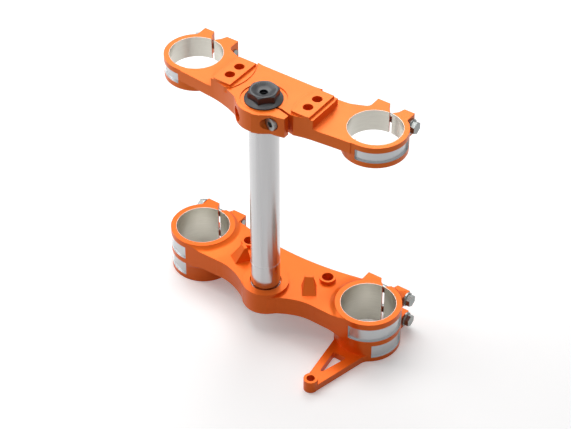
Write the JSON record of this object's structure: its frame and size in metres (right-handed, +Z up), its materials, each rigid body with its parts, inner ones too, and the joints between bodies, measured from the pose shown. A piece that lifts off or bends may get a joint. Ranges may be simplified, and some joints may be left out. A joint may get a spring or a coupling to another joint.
{
  "type": "motorcycle triple clamp",
  "caption": "Motorcycle triple clamp: upper and lower fork clamps joined by a steering stem, with cap screw, pinch bolts, windowed rings and a bracket arm.",
  "frame": {"origin": "on the steering stem's axis, level with the lower fork rings' top faces", "axes": "+X towards the ring that carries the bracket arm, +Y from the stem towards the fork legs, +Z up the stem"},
  "size_m": [0.276, 0.1412, 0.2901],
  "materials": {
    "orange_anodised": "satin orange anodised aluminium, bare inside bores and windows",
    "stem_alloy": "turned and polished aluminium",
    "black_screw": "semi-gloss black steel",
    "bolt_steel": "zinc-plated steel"
  },
  "bodies": {
    "root": {"upper_clamp": "orange_anodised", "lower_clamp": "orange_anodised", "steering_stem": "stem_alloy", "stem_cap_screw": "black_screw", "stem_pinch_bolt": "bolt_steel", "upper_right_bolt": "bolt_steel", "upper_left_bolt": "bolt_steel", "lower_right_top_bolt": "bolt_steel", "lower_right_foot_bolt": "bolt_steel", "lower_left_top_bolt": "bolt_steel", "lower_left_foot_bolt": "bolt_steel"}
  },
  "joints": []
}
